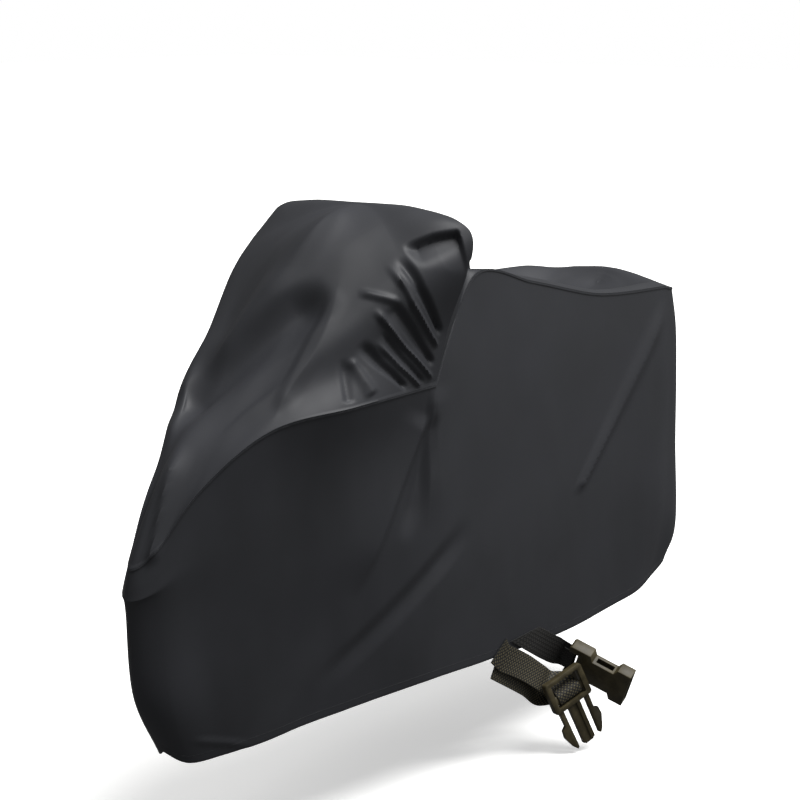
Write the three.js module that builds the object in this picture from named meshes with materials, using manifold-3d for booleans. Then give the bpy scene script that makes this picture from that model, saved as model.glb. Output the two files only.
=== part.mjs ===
// A fitted cover for a motorcycle: three sewn cloth panels that keep the shape of what they hide,
// and two straps of flat webbing at the hem, one with each half of a side-release buckle.
// Millimetres, +Z up, nose towards -Y, left side towards +X.
import * as THREE from "three";
import { mergeVertices } from "three/addons/utils/BufferGeometryUtils.js";
import Module from "manifold-3d";

const wasm = await Module();
wasm.setup();

// Driving sizes

const CLOTH_THICKNESS = 2;
const SEAM_GAP = 0.5;
const WEBBING_THICKNESS = 2.2;
// The point under the top that rests on the handlebar: heights in the tables are above the ground.
const CARRIED_AT = { y: -185, z: 1252 };

// The form: a row for each section from the stem at the nose round the left side to the stern.
// Each side entry is the point [x, y, z] on one line of the side panel, and each top entry the same
// on the top panel, which starts from the seam. steps is how many facets reach the next section.
// side: hem, low, belly, under the seam, seam
// top: lift, brow, shoulder, crest
const SECTIONS = [
  { at: 0, steps: 3,
    side: [[0, -925, 52], [0, -992, 195], [0, -1010, 390], [0, -1014, 455], [0, -1004, 508]],
    top: [[0, -915, 680], [0, -650, 925], [0, -482, 1132], [0, -330, 1242]] },
  { at: 0.07, steps: 4,
    side: [[44, -888, 22], [56, -948, 185], [52, -970, 400], [46, -980, 480], [40, -962, 546]],
    top: [[46, -882, 690], [54, -640, 929], [38, -468, 1137], [0, -312, 1247]] },
  { at: 0.15, steps: 4,
    side: [[86, -800, 28], [96, -845, 210], [100, -872, 420], [98, -882, 590], [94, -878, 675]],
    top: [[94, -780, 788], [104, -603, 943], [71, -435, 1154], [0, -288, 1251]] },
  { at: 0.24, steps: 6,
    side: [[136, -665, 50], [146, -685, 235], [158, -708, 430], [166, -730, 700], [172, -735, 797]],
    top: [[160, -668, 862], [160, -512, 1028], [99, -382, 1182], [0, -258, 1253]] },
  { at: 0.34, steps: 10,
    side: [[196, -420, 74], [212, -445, 250], [226, -478, 450], [240, -520, 740], [262, -532, 836]],
    top: [[242, -470, 915], [235, -350, 1130], [128, -289, 1222], [0, -228, 1254]] },
  { at: 0.43, steps: 3,
    side: [[242, -190, 86], [254, -205, 260], [262, -220, 460], [264, -250, 760], [274, -264, 848]],
    top: [[286, -240, 960], [315, -190, 1215], [180, -188, 1250], [0, -185, 1254]] },
  { at: 0.48, steps: 2,
    side: [[250, -60, 82], [260, -62, 270], [264, -70, 480], [258, -95, 850], [248, -158, 985]],
    top: [[240, -112, 1080], [228, -98, 1192], [128, -98, 1224], [0, -100, 1235]] },
  { at: 0.53, steps: 3,
    side: [[252, 80, 78], [262, 75, 270], [265, 70, 480], [250, 30, 920], [237, -60, 1090]],
    top: [[214, -62, 1098], [150, 20, 1078], [80, 27, 1102], [0, 30, 1120]] },
  { at: 0.6, steps: 3,
    side: [[253, 260, 72], [263, 255, 270], [267, 250, 480], [250, 200, 900], [234, 170, 1044]],
    top: [[212, 172, 1054], [120, 175, 1030], [61, 189, 1031], [0, 200, 1035]] },
  { at: 0.72, steps: 3,
    side: [[252, 520, 84], [263, 525, 280], [267, 525, 480], [250, 480, 860], [238, 460, 978]],
    top: [[214, 462, 986], [120, 450, 935], [61, 455, 929], [0, 460, 930]] },
  { at: 0.86, steps: 3,
    side: [[232, 768, 108], [250, 806, 290], [253, 808, 480], [248, 798, 850], [238, 790, 958]],
    top: [[206, 776, 968], [115, 700, 918], [59, 689, 913], [0, 690, 915]] },
  { at: 0.935, steps: 3,
    side: [[196, 895, 158], [206, 925, 240], [200, 918, 500], [196, 906, 850], [190, 892, 942]],
    top: [[162, 862, 958], [88, 808, 945], [45, 797, 939], [0, 795, 935]] },
  { at: 1, steps: 0,
    side: [[0, 930, 165], [0, 945, 320], [0, 942, 500], [0, 930, 860], [0, 912, 968]],
    top: [[0, 886, 978], [0, 850, 965], [0, 834, 955], [0, 815, 945]] },
];
// Where each line lies up its panel, from 0 to 1, and the facets to the next line.
const SIDE_LINES = { at: [0, 0.22, 0.46, 0.86, 1], steps: [1, 2, 5, 3] };
const TOP_LINES = { at: [0, 0.18, 0.58, 0.79, 1], steps: [3, 5, 2, 2] };
// Sections where a panel has a fold across it, and where that fold begins and is full on the way up
// the panel: the top panel at the hood's front corner and at the bar end, where it dies out towards
// the crest, and the side panel under the bar end.
const SIDE_CREASE = { sections: [5], from: 0.45, to: 0.8 };
const TOP_CREASE = { sections: [3, 5], from: 0.72, to: 0.56 };
// How far the first sections run on over the crest in their own direction: 1 all the way, 0 straight
// across it like the other sections.
const CREST_RUN = [1, 0.95, 0.8, 0.55, 0.25];
const LINE = { seam: 4, lift: 5, brow: 6, shoulder: 7, crest: 8 };

// The right side isn't the left one's mirror: shifts of its points, with x outwards.
const RIGHT_SHIFTS = [
  { section: 2, line: LINE.lift, by: [10, -4, 4] },
  { section: 3, line: LINE.lift, by: [8, -4, 4] },
  { section: 3, line: LINE.brow, by: [-5, -5, 0] },
  { section: 4, line: LINE.brow, by: [6, -25, 4] },
  { section: 5, line: LINE.brow, by: [-3, 0, 6] },
  { section: 4, line: LINE.seam, by: [-20, 20, -5] },
  { section: 3, line: LINE.seam, by: [-12, 10, -5] },
];
const RIGHT_CHEEK = { y: -860, z: 660, long: 130, tall: 170, drawnIn: 0.38 };
const RIGHT_SADDLE = { rise: 10, fromX: 120, fromY: 100, overY: 400, fromZ: 800, overZ: 100 };

// Main folds: soft ridges and troughs from one point to another on the cloth. wide is the reach
// on the left and on the right, seen from outside along the fold, at its start and at its end.
// high is how far it stands out, or in where it is negative. crisp goes from 0, round, to 1, sharp.
// fade is the share of its length over which it dies out at its start and at its end. over is a
// place between that it bends through.
const FOLDS = [
  // left bar end: the fan that runs up from the pinch under the bar, and the slit below its tip
  { from: [286, -255, 965], over: [280, -330, 1080], to: [212, -335, 1158],
    wide: [14, 14, 26, 24], high: -14, crisp: 0.3, fade: [0.1, 0.2] },
  { from: [281, -275, 895], over: [268, -345, 985], to: [245, -400, 1055],
    wide: [14, 14, 38, 28], high: -12, crisp: 0.2, fade: [0.1, 0.12] },
  { from: [276, -275, 860], over: [265, -370, 955], to: [227, -438, 1048],
    wide: [12, 12, 20, 20], high: 10, crisp: 0.6, fade: [0.1, 0.12] },
  { from: [270, -365, 850], over: [255, -435, 915], to: [223, -483, 973],
    wide: [14, 14, 30, 26], high: -11, crisp: 0.3, fade: [0.12, 0.2] },
  { from: [300, -208, 1207], over: [262, -258, 1195], to: [215, -315, 1168],
    wide: [16, 18, 20, 24], high: -14, crisp: 0.3, fade: [0.1, 0.25] },
  // nose: the broad trough down the front with the ridge above it, and the ridge over the wheel
  { from: [125, -470, 1095], to: [-115, -790, 790], wide: [80, 70, 100, 90], high: -32, crisp: 0.1,
    fade: [0.2, 0.2] },
  { from: [25, -465, 1140], to: [-120, -700, 920], wide: [60, 80, 70, 90], high: 12, crisp: 0.2,
    fade: [0.3, 0.3] },
  { from: [5, -832, 765], to: [35, -982, 515], wide: [45, 18, 30, 16], high: 12, crisp: 0.6,
    fade: [0.3, 0.12] },
  // left side: the edge below the pinch, the turn from the front face to the flank with a hollow
  // behind it, a long drape and the fold at the tail
  { from: [278, -268, 850], to: [260, -275, 475], wide: [110, 30, 120, 34], high: 8, crisp: 0.5,
    fade: [0.15, 0.4] },
  { from: [270, -285, 780], to: [210, -500, 350], wide: [36, 100, 40, 110], high: 10, crisp: 0.6,
    fade: [0.1, 0.3] },
  { from: [205, -520, 330], to: [130, -735, 0], wide: [90, 90, 70, 70], high: 6, crisp: 0.2,
    fade: [0.5, 0.05] },
  { from: [268, -250, 780], to: [250, -355, 465], wide: [30, 30, 45, 45], high: -8, crisp: 0.3,
    fade: [0.15, 0.3] },
  { from: [265, -105, 480], to: [165, -595, 140], wide: [50, 40, 50, 40], high: -8, crisp: 0.3,
    fade: [0.25, 0.3] },
  { from: [240, 800, 925], to: [270, 350, 455], wide: [60, 50, 30, 28], high: 12, crisp: 0.8,
    fade: [0.2, 0.08] },
  // right side: its own fan, two drapes and a fold at the tail
  { from: [-268, -275, 845], to: [-225, -370, 1140], wide: [14, 14, 34, 34], high: -14, crisp: 0.3,
    fade: [0.1, 0.25] },
  { from: [-262, -300, 845], to: [-235, -450, 1010], wide: [12, 12, 28, 28], high: 11, crisp: 0.5,
    fade: [0.1, 0.25] },
  { from: [-262, -260, 760], to: [-215, -490, 330], wide: [80, 60, 80, 60], high: 10, crisp: 0.4,
    fade: [0.2, 0.2] },
  { from: [-264, -150, 800], to: [-262, 20, 180], wide: [50, 50, 60, 60], high: -9, crisp: 0.2,
    fade: [0.3, 0.2] },
  { from: [-248, 720, 920], to: [-266, 430, 330], wide: [50, 60, 40, 40], high: 10, crisp: 0.6,
    fade: [0.15, 0.2] },
  // tail: two drapes that hang from the corners
  { from: [150, 905, 920], to: [40, 942, 380], wide: [50, 50, 60, 60], high: 9, crisp: 0.4,
    fade: [0.15, 0.3] },
  { from: [-150, 905, 920], to: [-80, 942, 300], wide: [60, 50, 60, 60], high: -9, crisp: 0.2,
    fade: [0.2, 0.3] },
];
const FOLD_DEPTH = { reach: 180, soft: 60 };

// Both halves of the buckle: where the origin of each stands, and which way its x and y run.
// The prong half lies with x across the webbing, y from the prongs to the frame and z to its face.
const PRONG_HALF = {
  at: [319, 242, -54],
  x: [0.304, 0.865, 0.398],
  y: [-0.215, -0.345, 0.914],
  frame: { width: 124, height: 94, thickness: 20, corner: 9, y: 0 },
  window: { width: 92, height: 70, corner: 4, y: 1 },
  bar: { radius: 5.2, flatter: 2.6, y: -14 },
  tongue: { width: 38, from: -40, to: -170, web: 5, rib: 12, thickness: 12 },
  prongThickness: 12,
};
// Outline of the right prong, from the frame down its outer side, round the barb and up again.
const PRONG = [[51, -36], [50, -90], [62, -98], [64, -120], [50, -156], [41, -168], [35, -163],
  [36, -130], [36, -90], [37, -36]];
// The socket half lies with x from the webbing to the mouth, y across and z to its face.
const SOCKET_HALF = {
  at: [272, 315, 7],
  x: [0.884, 0.281, -0.372],
  y: [0.449, -0.298, 0.842],
  thickness: 38,
  bevel: 2.5,
  slot: { from: 14, to: 28, width: 80, barThickness: 14 },
  socket: { from: 66, waist: 70, mouth: 108, mouthFrom: 146, height: 27 },
  window: { from: 78, to: 128, height: 16 },
};
// Half of the socket's outline, from the middle of the slotted end round to the middle of the mouth.
const SOCKET_OUTLINE = [[0, 55], [5, 60], [61, 60], [70, 41], [134, 41], [143, 60], [182, 60]];

// Straps: at is the middle of the webbing and half the way from there to its upper edge. Rows on a
// buckle half are in its own axes. A creased row has straight webbing on both sides.
const FRONT_STRAP = [
  { at: [254.9, 24, 97], half: [1, 32, 25] },
  { at: [254.8, 50, 69], half: [1, 18.5, 32], creased: true },
  { at: [263, 125, 26], half: [-4, 26, 26] },
  { at: [272, 190, -20], half: [-7, 28.3, 22.8] },
  { at: [275, 218, -40], half: [-6.5, 28.7, 22.5] },
  { on: PRONG_HALF, at: [-8, 17, -21], half: [34.3, 12, -6.5] },
  { on: PRONG_HALF, at: [0, 9, -10], half: [37, 0, 0] },
  { on: PRONG_HALF, at: [0, 4, -3], half: [37, 0, 0] },
  { on: PRONG_HALF, at: [0, -0.5, 4], half: [37, 0, 0] },
  { on: PRONG_HALF, at: [0, -8, 6.5], half: [37, 0, 0] },
  { on: PRONG_HALF, at: [0, -20, 6.5], half: [37, 0, 0] },
  { on: PRONG_HALF, at: [0, -28, 4], half: [37, 0, 0] },
  { on: PRONG_HALF, at: [0, -30.2, -4], half: [37, 0, 0] },
  { on: PRONG_HALF, at: [-3, -25, -15], half: [36.8, 3, -2] },
  { on: PRONG_HALF, at: [-18, -12, -35], half: [33.3, 14.8, -6.5] },
  { at: [260, 223, -79], half: [-6.5, 28.7, 22.5] },
  { at: [254, 146, -24], half: [-3, 23, 28.8] },
  { at: [246, 20, 56], half: [0, 18.5, 32] },
];
const REAR_STRAP = [
  { at: [256.8, 135, 113], half: [0, 63, 4] },
  { at: [255.6, 185, 83], half: [1, 19.4, 31.5], creased: true },
  { at: [257.5, 240, 50], half: [7, 17, 32] },
  { at: [262, 280, 26], half: [14, 8, 33.3] },
  { on: SOCKET_HALF, at: [-14, 0, 10], half: [0, 37, 0] },
  { on: SOCKET_HALF, at: [7, 0, 9], half: [0, 37, 0] },
  { on: SOCKET_HALF, at: [16.2, 0, 8], half: [0, 37, 0] },
  { on: SOCKET_HALF, at: [19, 0, 0], half: [0, 37, 0] },
  { on: SOCKET_HALF, at: [16.2, 0, -8], half: [0, 37, 0] },
  { on: SOCKET_HALF, at: [7, 0, -9], half: [0, 37, 0] },
  { on: SOCKET_HALF, at: [-30, 0, -12], half: [0, 37, 0] },
];
const STRAP_STEPS = 3;

// Small helpers

const smooth = (x) => {
  const t = Math.min(Math.max(x, 0), 1);
  return t * t * (3 - 2 * t);
};
const vec = (a) => new THREE.Vector3(...a);

// A smooth curve through rows of numbers at the given knots. The first and the last row only set
// the slope at the ends. The slope breaks at a creased row, by the share sharp(n) of the full break.
function through(rows, knots, t, creased = [], sharp = () => 1) {
  let k = 1;
  while (k < rows.length - 3 && t >= knots[k + 1]) k += 1;
  const span = (i) => knots[i + 1] - knots[i];
  const rise = (i, n) => (rows[i + 1][n] - rows[i][n]) / span(i);
  const slope = (i, n, ahead) => {
    const even = (rise(i - 1, n) * span(i) + rise(i, n) * span(i - 1)) / (span(i - 1) + span(i));
    return creased.includes(i) ? even + (rise(ahead ? i : i - 1, n) - even) * sharp(n) : even;
  };
  const h = span(k);
  const s = (t - knots[k]) / h;
  const s2 = s * s;
  const s3 = s2 * s;
  return rows[k].map(
    (p, n) =>
      (2 * s3 - 3 * s2 + 1) * p +
      (s3 - 2 * s2 + s) * h * slope(k, n, true) +
      (3 * s2 - 2 * s3) * rows[k + 1][n] +
      (s3 - s2) * h * slope(k + 1, n, false),
  );
}

// Values from knots, each span cut into its steps.
function divide(knots, steps) {
  const out = [];
  for (let i = 0; i + 1 < knots.length; i += 1)
    for (let j = 0; j < steps[i]; j += 1)
      out.push(knots[i] + ((knots[i + 1] - knots[i]) * j) / steps[i]);
  out.push(knots[knots.length - 1]);
  return out;
}

const padded = (knots) => {
  const n = knots.length;
  return [2 * knots[0] - knots[1], ...knots, 2 * knots[n - 1] - knots[n - 2]];
};
const beyond = (a, b) => a.map((v, i) => 2 * v - b[i]);

// The form of one half

// Grid of points of one panel on one half: columns from stem to stern, rows from low to high.
function panelGrid(points, before, after, lines, crease) {
  const rowKnots = padded(lines.at);
  const rows = divide(lines.at, lines.steps);
  const sections = points.map((line, k) => {
    const all = [before[k], ...line, after[k]];
    return rows.flatMap((v) => through(all, rowKnots, v));
  });
  const flip = (flat) => flat.map((v, i) => (i % 3 === 0 ? -v : v));
  const last = sections.length - 1;
  const around = [flip(sections[1]), ...sections, flip(sections[last - 1])];
  const at = SECTIONS.map((s) => s.at);
  const aroundKnots = [-at[1], ...at, 2 - at[last - 1]];
  const columns = divide(at, SECTIONS.map((s) => s.steps));
  const creased = crease.sections.map((k) => k + 1);
  const sharp = (n) => smooth((rows[Math.floor(n / 3)] - crease.from) / (crease.to - crease.from));
  return columns.map((u) => {
    const flat = through(around, aroundKnots, u, creased, sharp);
    return rows.map((_, j) => flat.slice(3 * j, 3 * j + 3));
  });
}

// Side and top grids of one half from its table of points, stem to stern.
function halfGrids(table) {
  const sides = table.map((line) => line.slice(0, LINE.seam + 1));
  const tops = table.map((line) => line.slice(LINE.seam));
  const last = table.length - 1;
  const sideBefore = sides.map((line) => beyond(line[0], line[1]));
  const sideAfter = sides.map((line) => beyond(line[LINE.seam], line[LINE.seam - 1]));
  // at the nose the cloth runs smoothly over the seam
  const topBefore = tops.map((line, k) => (k < 2 ? sides[k][LINE.seam - 1] : beyond(line[0], line[1])));
  const topAfter = table.map((line, k) => {
    const [x, y, z] = line[LINE.shoulder];
    const [before, after] = [Math.max(k - 1, 0), Math.min(k + 1, last)].map((i) => table[i][LINE.crest]);
    const run = 2 * (line[LINE.crest][1] - y) * (CREST_RUN[k] ?? 0);
    return [-x, y + run, z + (run * (after[2] - before[2])) / (after[1] - before[1])];
  });
  topAfter[last] = [0, tops[last][4][1] - 30, tops[last][4][2] - 4];
  const side = panelGrid(sides, sideBefore, sideAfter, SIDE_LINES, SIDE_CREASE);
  const top = panelGrid(tops, topBefore, topAfter, TOP_LINES, TOP_CREASE);
  const rows = divide(TOP_LINES.at, TOP_LINES.steps);
  top.forEach((column, i) => {
    const seam = side[i][side[i].length - 1];
    const step = seam.map((v, n) => v - column[0][n]);
    column.forEach((point, row) => {
      const share = 1 - smooth(rows[row] / TOP_LINES.at[1]);
      column[row] = row === 0 ? seam : point.map((v, n) => v + step[n] * share);
    });
  });
  return { side, top };
}

const leftTable = SECTIONS.map((s) => [...s.side, ...s.top]);
const rightTable = leftTable.map((line, k) =>
  line.map((point, n) => {
    const shift = RIGHT_SHIFTS.find((row) => row.section === k && row.line === n);
    return shift ? point.map((v, i) => v + shift.by[i]) : point;
  }),
);

// The right half is the mirrored one, drawn in at the cheek and a little higher behind the saddle.
function toRight([x, y, z]) {
  const away = ((y - RIGHT_CHEEK.y) / RIGHT_CHEEK.long) ** 2 + ((z - RIGHT_CHEEK.z) / RIGHT_CHEEK.tall) ** 2;
  const s = RIGHT_SADDLE;
  const share = (v, from, over) => Math.min(Math.max((v - from) / over, 0), 1);
  const lift = s.rise * share(x, 0, s.fromX) * share(y, s.fromY, s.overY) * share(z, s.fromZ, s.overZ);
  return [-x * (1 - RIGHT_CHEEK.drawnIn * Math.exp(-away)), y, z + lift];
}

// One welded skin of all panels, as points and four-sided faces that name their panel

function weldedSkin() {
  const points = [];
  const faces = [];
  const known = new Map();
  const indexOf = (p) => {
    const key = p.map((v) => Math.round(v * 1000) + 0).join(" ");
    if (!known.has(key)) {
      known.set(key, points.length);
      points.push(vec(p));
    }
    return known.get(key);
  };
  const add = (grid, panel, turned) => {
    const index = grid.map((column) => column.map(indexOf));
    for (let i = 0; i + 1 < grid.length; i += 1)
      for (let j = 0; j + 1 < grid[0].length; j += 1) {
        const face = [index[i][j], index[i + 1][j], index[i + 1][j + 1], index[i][j + 1]];
        faces.push({ panel, corners: turned ? face.reverse() : face });
      }
  };
  const left = halfGrids(leftTable);
  const right = halfGrids(rightTable);
  const toRightGrid = (grid) => grid.map((column) => column.map(toRight));
  add(left.side, "left", false);
  add(left.top, "top", false);
  add(toRightGrid(right.side), "right", true);
  add(toRightGrid(right.top), "top", true);
  return { points, faces };
}

// Each face cut into two triangles along its shorter diagonal.
function triangles(points, faces) {
  return faces.flatMap(({ panel, corners: [a, b, c, d] }) => {
    const cut = points[a].distanceTo(points[c]) <= points[b].distanceTo(points[d]);
    const pair = cut ? [[a, b, c], [a, c, d]] : [[a, b, d], [b, c, d]];
    return pair.map((corners) => ({ panel, corners }));
  });
}

function normals(points, tris) {
  const out = points.map(() => new THREE.Vector3());
  for (const { corners: [a, b, c] } of tris) {
    const ab = points[b].clone().sub(points[a]);
    const ac = points[c].clone().sub(points[a]);
    const n = ab.cross(ac);
    for (const k of [a, b, c]) out[k].add(n);
  }
  return out.map((n) => n.normalize());
}

// How far one fold lifts the cloth at a point whose outward direction is given.
function foldHeight(point, out, fold) {
  const path = [fold.from, ...(fold.over ? [fold.over] : []), fold.to].map(vec);
  const spans = path.slice(1).map((p, k) => p.distanceTo(path[k]));
  const whole = spans.reduce((sum, span) => sum + span, 0);
  const legs = spans.map((span, k) => {
    const along = path[k + 1].clone().sub(path[k]);
    const share = Math.min(Math.max(point.clone().sub(path[k]).dot(along) / span ** 2, 0), 1);
    const off = point.clone().sub(path[k]).addScaledVector(along, -share);
    const depth = off.dot(out);
    off.addScaledVector(out, -depth);
    const t = ((k > 0 ? spans[0] : 0) + share * span) / whole;
    return { t, depth, far: off.length(), onLeft: along.cross(off).dot(out) > 0 };
  });
  const { t, depth, far, onLeft } = legs.reduce((a, b) => (b.far < a.far ? b : a));
  const [leftStart, rightStart, leftEnd, rightEnd] = fold.wide;
  const reach = onLeft ? leftStart + (leftEnd - leftStart) * t : rightStart + (rightEnd - rightStart) * t;
  const r = Math.min(far / reach, 1);
  const profile = (1 - fold.crisp) * (1 - r * r) ** 2 + fold.crisp * (1 - r) ** 2;
  const ends = smooth(t / fold.fade[0]) * smooth((1 - t) / fold.fade[1]);
  return fold.high * profile * ends * smooth((FOLD_DEPTH.reach - Math.abs(depth)) / FOLD_DEPTH.soft);
}

function foldedSkin() {
  const { points, faces } = weldedSkin();
  const outward = normals(points, triangles(points, faces));
  const moved = points.map((p, i) => {
    const height = FOLDS.reduce((sum, fold) => sum + foldHeight(p, outward[i], fold), 0);
    return p.clone().addScaledVector(outward[i], height);
  });
  return { points: moved, tris: triangles(moved, faces) };
}

const skin = foldedSkin();
const skinNormals = normals(skin.points, skin.tris);

// Solids

// A BufferGeometry from points and triples of indices.
function solid(points, index) {
  const geometry = new THREE.BufferGeometry();
  geometry.setAttribute("position", new THREE.Float32BufferAttribute(points.flatMap((p) => p.toArray()), 3));
  geometry.setIndex(index.flat());
  geometry.computeVertexNormals();
  return geometry;
}

// The directed edges of triangles that no other of them has the other way round.
function rimEdges(tris) {
  const edges = new Map();
  for (const corners of tris)
    corners.forEach((a, i) => {
      const b = corners[(i + 1) % 3];
      if (!edges.delete(`${b} ${a}`)) edges.set(`${a} ${b}`, [a, b]);
    });
  return [...edges.values()];
}

const ownTriangles = (panel) => skin.tris.filter((t) => t.panel === panel).map((t) => t.corners);
const hemEdges = new Set(rimEdges(skin.tris.map((t) => t.corners)).map((edge) => edge.join(" ")));

// One panel of the skin as a closed sheet: an outer face, an inner face and a rim round its edge,
// which stands half a seam gap back where another panel meets it.
function panelSolid(panel) {
  const own = ownTriangles(panel);
  const rim = rimEdges(own);
  const inwards = new Map();
  for (const [a, b] of rim.filter((edge) => !hemEdges.has(edge.join(" "))))
    for (const k of [a, b]) {
      const across = skinNormals[k].clone().cross(skin.points[b].clone().sub(skin.points[a])).normalize();
      inwards.set(k, [...(inwards.get(k) ?? []), across]);
    }
  const place = new Map();
  const outer = [];
  const inner = [];
  for (const k of new Set(own.flat())) {
    const p = skin.points[k].clone();
    const [first, second = first] = inwards.get(k) ?? [];
    if (first) {
      const mitre = SEAM_GAP / 2 / (1 + first.dot(second));
      p.addScaledVector(first, mitre).addScaledVector(second, mitre);
    }
    place.set(k, outer.length);
    outer.push(p);
    inner.push(p.clone().addScaledVector(skinNormals[k], -CLOTH_THICKNESS));
  }
  const n = outer.length;
  const index = [];
  for (const [a, b, c] of own.map((t) => t.map((k) => place.get(k))))
    index.push([a, b, c], [c + n, b + n, a + n]);
  // both panels at a seam cut the faces between outer and inner edge the same way
  for (const edge of rim) {
    const [a, b] = edge.map((k) => place.get(k));
    if (edge[0] < edge[1]) index.push([b, a, b + n], [a, a + n, b + n]);
    else index.push([b, a, a + n], [b, a + n, b + n]);
  }
  return solid([...outer, ...inner], index);
}

// Buckle halves

// A geometry as a solid that can be joined and cut, and back.
function toSolid(geometry) {
  const bare = new THREE.BufferGeometry().setAttribute("position", geometry.getAttribute("position"));
  if (geometry.index) bare.setIndex(geometry.index);
  const merged = mergeVertices(bare, 1e-4);
  const mesh = new wasm.Mesh({
    numProp: 3,
    vertProperties: merged.attributes.position.array,
    triVerts: new Uint32Array(merged.index.array),
  });
  return new wasm.Manifold(mesh);
}

function fromSolid(body) {
  const mesh = body.getMesh();
  const geometry = new THREE.BufferGeometry();
  geometry.setAttribute("position", new THREE.Float32BufferAttribute(mesh.vertProperties, 3));
  geometry.setIndex(new THREE.BufferAttribute(mesh.triVerts, 1));
  return geometry;
}

// A box between two corners.
function box(low, high) {
  const size = high.map((v, i) => v - low[i]);
  const geometry = new THREE.BoxGeometry(...size);
  return toSolid(geometry.translate(...low.map((v, i) => v + size[i] / 2)));
}

// A flat outline made into a plate of this thickness, centred on z = 0, with its edges bevelled.
function plate(shape, thickness, bevel = 0) {
  const geometry = new THREE.ExtrudeGeometry(shape, {
    depth: thickness - 2 * bevel,
    bevelEnabled: bevel > 0,
    bevelThickness: bevel,
    bevelSize: bevel,
    bevelOffset: -bevel,
    bevelSegments: 2,
    curveSegments: 5,
  });
  return toSolid(geometry.translate(0, 0, bevel - thickness / 2));
}

const outline = (points) => new THREE.Shape(points.map(([x, y]) => new THREE.Vector2(x, y)));

function roundedRectangle({ width, height, corner, y }) {
  const shape = new THREE.Shape();
  const [w, h] = [width / 2 - corner, height / 2 - corner];
  shape.absarc(w, y + h, corner, 0, Math.PI / 2, false);
  shape.absarc(-w, y + h, corner, Math.PI / 2, Math.PI, false);
  shape.absarc(-w, y - h, corner, Math.PI, 1.5 * Math.PI, false);
  shape.absarc(w, y - h, corner, 1.5 * Math.PI, 2 * Math.PI, false);
  return shape;
}

// The half that has a frame with a bar for the webbing, a tongue and two barbed prongs.
function prongHalf({ frame, window, bar, tongue, prongThickness }) {
  const ring = plate(roundedRectangle(frame), frame.thickness, 2).subtract(
    plate(roundedRectangle(window), frame.thickness + 2),
  );
  const rod = new THREE.CylinderGeometry(bar.radius, bar.radius, window.width + 8, 20);
  const half = tongue.width / 2;
  const web = plate(
    outline([[-half, tongue.from], [-half, tongue.to + 8], [-half + 6, tongue.to], [half - 6, tongue.to],
      [half, tongue.to + 8], [half, tongue.from]].reverse()),
    tongue.web,
  );
  const rib = (x) =>
    box([x, tongue.to + 6, -tongue.thickness / 2], [x + tongue.rib, tongue.from, tongue.thickness / 2]);
  const prong = (side) => {
    const points = PRONG.map(([x, y]) => [side * x, y]);
    return plate(outline(side < 0 ? points : points.reverse()), prongThickness, 1.5);
  };
  return [
    toSolid(rod.rotateZ(Math.PI / 2).scale(1, bar.flatter, 1).translate(0, bar.y, 0)),
    web,
    rib(-half),
    rib(half - tongue.rib),
    prong(-1),
    prong(1),
  ].reduce((sum, piece) => sum.add(piece), ring);
}

// The half that has a slot for the webbing and a hollow socket with a window in each side.
function socketHalf({ thickness, bevel, slot, socket, window }) {
  const upper = SOCKET_OUTLINE.map(([x, y]) => [x, y]);
  const lower = SOCKET_OUTLINE.map(([x, y]) => [x, -y]);
  const length = upper[upper.length - 1][0];
  const block = plate(outline([...lower, ...upper.reverse()]), thickness, bevel);
  const across = slot.width / 2;
  const edge = slot.barThickness / 2;
  const cuts = [
    box([slot.from, -across, -thickness], [slot.to, across, thickness]),
    box([-1, -across, edge], [slot.from + 1, across, thickness]),
    box([-1, -across, -thickness], [slot.from + 1, across, -edge]),
    box([socket.from, -socket.waist / 2, -socket.height / 2], [length + 1, socket.waist / 2, socket.height / 2]),
    box([socket.mouthFrom, -socket.mouth / 2, -socket.height / 2],
      [length + 1, socket.mouth / 2, socket.height / 2]),
    box([window.from, -thickness * 2, -window.height / 2], [window.to, thickness * 2, window.height / 2]),
  ];
  return cuts.reduce((rest, cut) => rest.subtract(cut), block);
}

// Straps

function placement({ at, x, y }) {
  const along = vec(x).normalize();
  const face = along.clone().cross(vec(y)).normalize();
  return new THREE.Matrix4().makeBasis(along, face.clone().cross(along), face).setPosition(...at);
}

// Flat webbing through the rows of a table.
function webbing(table) {
  const rows = table.map(({ on, at, half }) => {
    const turn = on ? placement(on) : new THREE.Matrix4();
    return [vec(at).applyMatrix4(turn), vec(half).transformDirection(turn).setLength(vec(half).length())];
  });
  const flat = rows.map(([at, half]) => [...at.toArray(), ...half.toArray()]);
  const knots = [0];
  for (let i = 1; i < rows.length; i += 1) knots.push(knots[i - 1] + rows[i][0].distanceTo(rows[i - 1][0]));
  const all = [beyond(flat[0], flat[1]), ...flat, beyond(flat[flat.length - 1], flat[flat.length - 2])];
  const creased = table.flatMap((row, i) => (row.creased ? [i + 1] : []));
  const places = divide(knots, knots.slice(1).map(() => STRAP_STEPS));
  const sections = places.map((t) => through(all, padded(knots), t, creased));
  const centres = sections.map((row) => vec(row.slice(0, 3)));
  const halves = sections.map((row) => vec(row.slice(3)));
  const points = centres.flatMap((centre, i) => {
    const before = centres[Math.max(i - 1, 0)];
    const after = centres[Math.min(i + 1, centres.length - 1)];
    const face = halves[i].clone().cross(after.clone().sub(before)).setLength(WEBBING_THICKNESS / 2);
    return [[-1, -1], [1, -1], [1, 1], [-1, 1]].map(([across, up]) =>
      centre.clone().addScaledVector(halves[i], across).addScaledVector(face, up),
    );
  });
  const last = points.length - 4;
  const index = [[0, 2, 3], [0, 1, 2], [last, last + 2, last + 1], [last, last + 3, last + 2]];
  for (let i = 0; i < last; i += 4)
    for (let j = 0; j < 4; j += 1) {
      const k = (j + 1) % 4;
      index.push([i + j, i + 4 + k, i + k], [i + j, i + 4 + j, i + 4 + k]);
    }
  return solid(points, index);
}

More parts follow.
